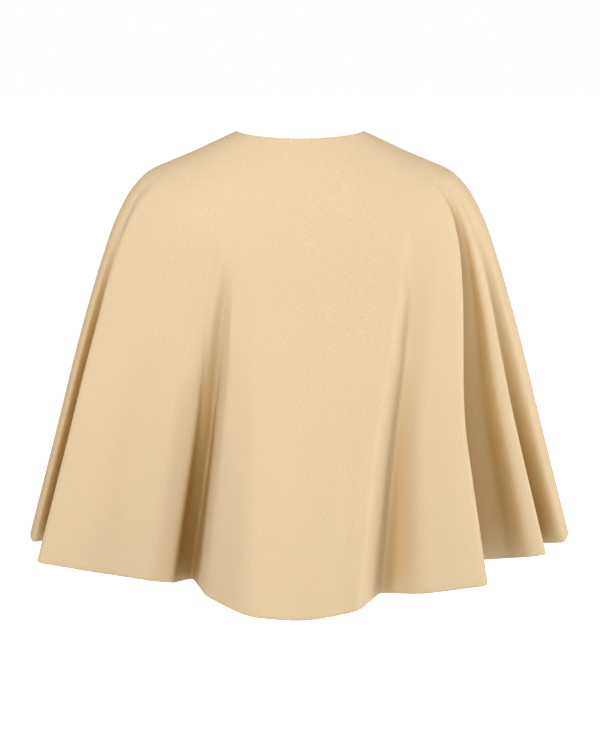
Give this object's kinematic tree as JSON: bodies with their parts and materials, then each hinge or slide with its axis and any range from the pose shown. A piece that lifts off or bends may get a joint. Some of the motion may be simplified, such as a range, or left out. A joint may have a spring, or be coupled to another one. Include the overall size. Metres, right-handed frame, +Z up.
{
  "type": "wool cape",
  "caption": "Short collarless wool cape, worn and filled out, open at the neck and hem, with soft deep folds.",
  "frame": {"origin": "middle between the two neck points, where the shoulders carry the cape", "axes": "+Z up, +Y towards the wearer's front, +X towards the wearer's right"},
  "size_m": [0.7195, 0.545, 0.5837],
  "materials": {
    "wool": "felted, matte, soft nap",
    "facing": "felted, matte"
  },
  "bodies": {
    "root": {"back": "wool", "front_left": "wool", "front_right": "wool", "back_neck_facing": "facing"}
  },
  "joints": []
}
